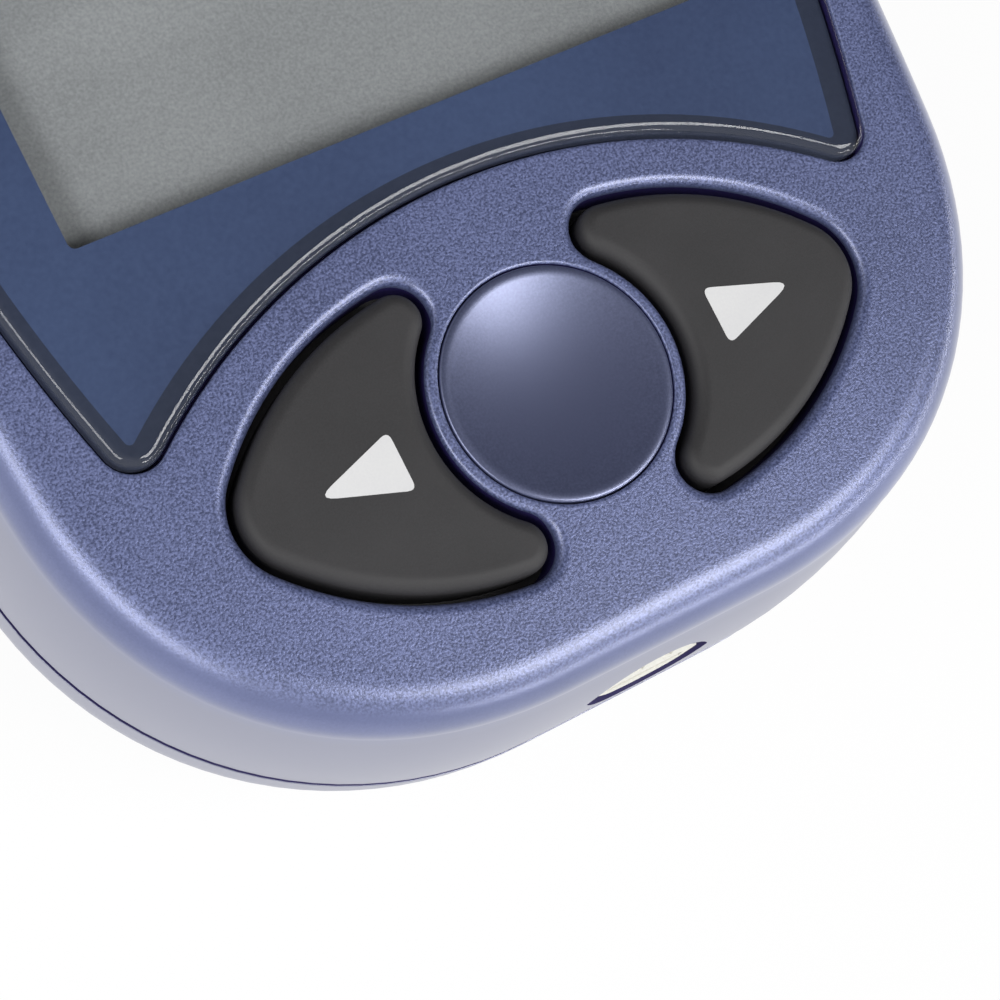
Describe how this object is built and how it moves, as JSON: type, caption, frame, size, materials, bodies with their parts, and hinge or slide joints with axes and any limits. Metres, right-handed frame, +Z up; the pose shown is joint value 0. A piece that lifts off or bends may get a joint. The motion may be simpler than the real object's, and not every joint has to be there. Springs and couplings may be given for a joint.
{
  "type": "blood glucose meter",
  "caption": "Handheld blood glucose meter with a display under a blue lens, crescent keys round a dished disc, an end slot for test strips and a sliding battery door.",
  "frame": {"origin": "middle of the flat rest face under the back shell, at the centre of the case's footprint", "axes": "+Z up out of the front face, +Y from the strip end towards the display end, +X to the user's right"},
  "size_m": [0.0526, 0.104, 0.022],
  "materials": {
    "housing_paint": "satin pearl paint over moulded plastic, fine speckle",
    "lens": "polished acrylic, printed blue behind, clear over the display",
    "display": "grey-green liquid crystal panel",
    "key_rubber": "matte silicone rubber",
    "port_plastic": "cream moulded plastic",
    "black_plastic": "moulded black plastic",
    "white_plastic": "moulded white plastic",
    "foam": "soft black foam",
    "adhesive": "double-sided adhesive sheet",
    "connector_rubber": "layered conductive silicone",
    "circuit_board": "green solder mask",
    "component_ceramic": "small ceramic parts",
    "component_metal": "drawn metal cans",
    "gold_contact": "gold-plated spring contacts",
    "nickel_contact": "nickel-plated spring steel",
    "cell_steel": "brushed stainless steel",
    "screw_steel": "zinc-plated steel"
  },
  "bodies": {
    "case": {"top_housing": "housing_paint", "bottom_housing": "housing_paint", "display_lens": "lens", "lens_adhesive": "adhesive", "display_gasket": "foam", "display_panel": "display", "display_frame": "white_plastic", "display_connectors": "connector_rubber", "centre_disc": "housing_paint", "left_switch": "black_plastic", "right_switch": "black_plastic", "main_board": "circuit_board", "microcontroller": "black_plastic", "memory_chip": "black_plastic", "crystal": "component_metal", "buzzer": "black_plastic", "thermistor": "component_ceramic", "capacitors": "component_metal", "chip_parts": "component_ceramic", "strip_port": "port_plastic", "strip_contacts": "gold_contact", "coin_cell": "cell_steel", "negative_contact": "nickel_contact", "positive_contact": "nickel_contact", "case_screws": "screw_steel"},
    "left_button": {"left_key": "key_rubber", "left_plunger": "white_plastic"},
    "right_button": {"right_key": "key_rubber", "right_plunger": "white_plastic"},
    "door": {"battery_door": "housing_paint", "door_pad": "foam"}
  },
  "joints": [
    {"name": "left_press", "type": "slide", "parent": "case", "child": "left_button", "axis": [0, 0, -1], "range_m": [0, 0.0005], "stiffness_N_per_m": 1500},
    {"name": "right_press", "type": "slide", "parent": "case", "child": "right_button", "axis": [0, 0, -1], "range_m": [0, 0.0005], "stiffness_N_per_m": 1500},
    {"name": "door_slide", "type": "slide", "parent": "case", "child": "door", "axis": [0, 1, 0], "range_m": [0, 0.036]}
  ]
}
